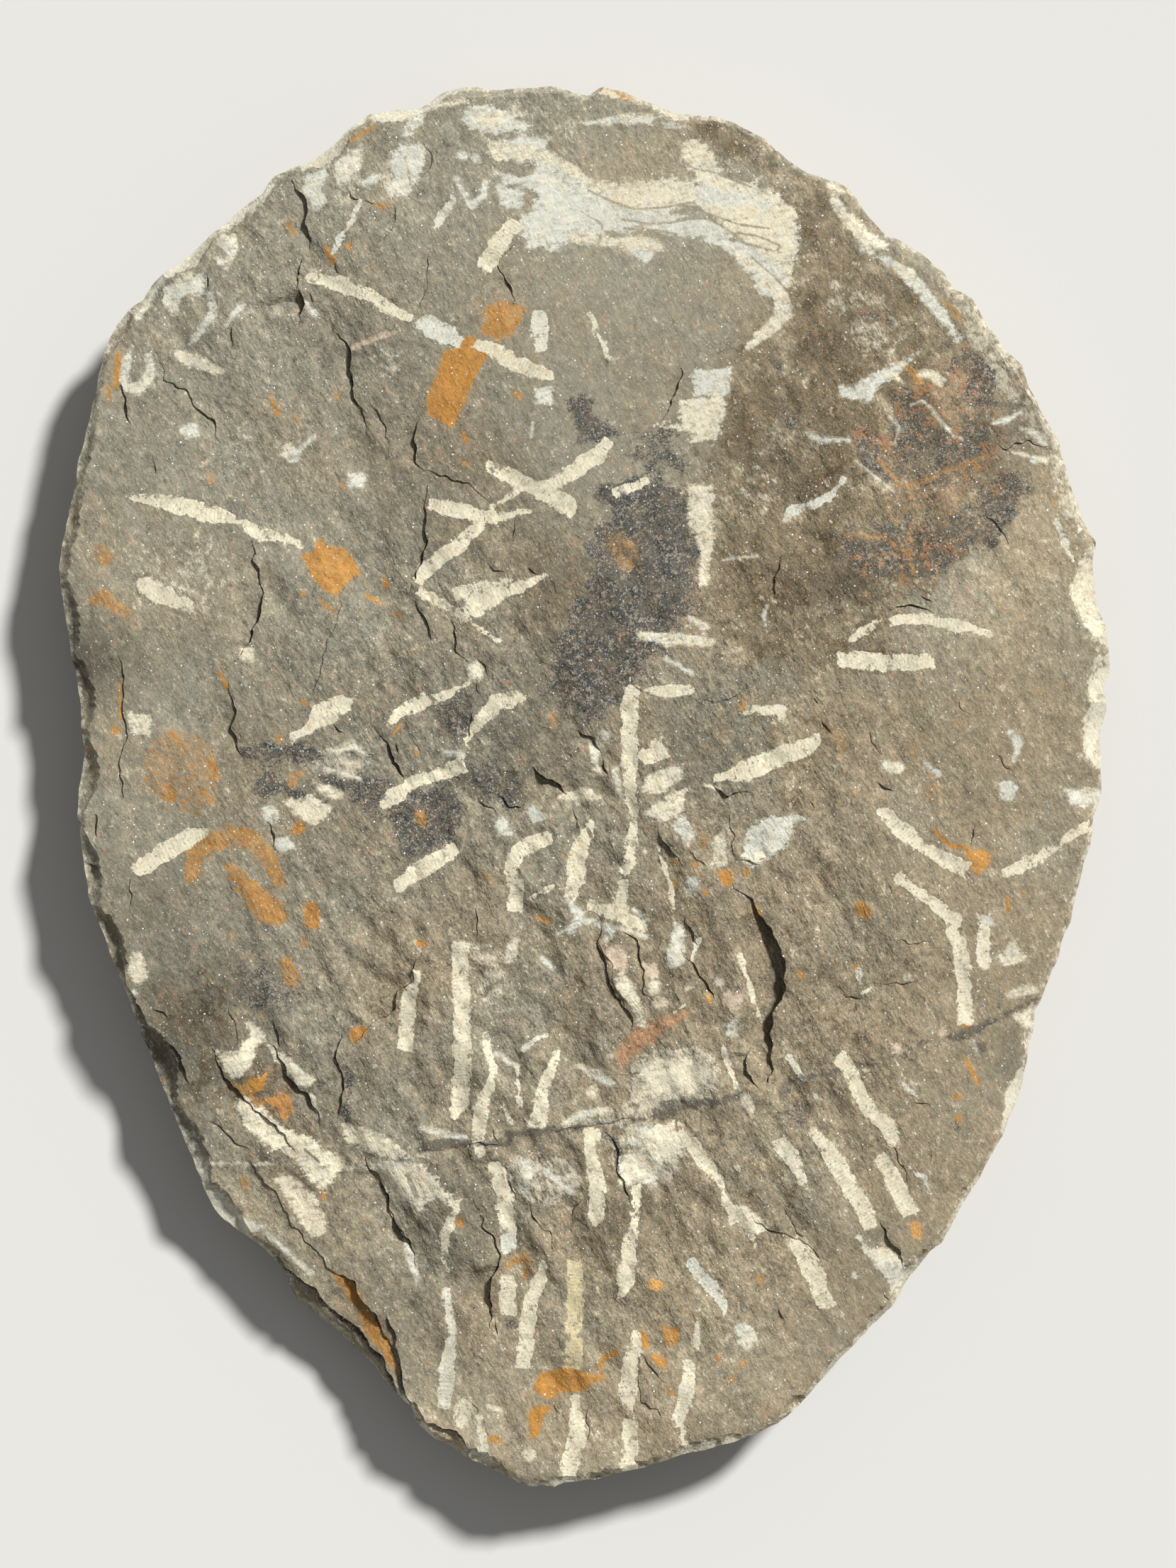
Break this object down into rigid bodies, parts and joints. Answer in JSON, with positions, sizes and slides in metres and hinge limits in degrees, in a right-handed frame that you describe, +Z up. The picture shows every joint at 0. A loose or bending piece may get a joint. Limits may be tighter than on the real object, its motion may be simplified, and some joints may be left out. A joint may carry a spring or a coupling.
{
  "type": "fossil slab",
  "caption": "Flat egg-shaped slab of brown-grey shale, trimmed by hand, with pale ribbed rod marks, bruised chips, rust spots and thin ledges on its split face.",
  "frame": {"origin": "middle of the slab's box, on the plane that its flat back rests on", "axes": "+Z up out of the split face, +Y towards the blunt end, +X to the right when the pointed end is towards the viewer"},
  "size_m": [0.2176, 0.2898, 0.021],
  "materials": {
    "shale": "rough split stone with fine mica sparkle"
  },
  "bodies": {
    "root": {"slab": "shale"}
  },
  "joints": []
}
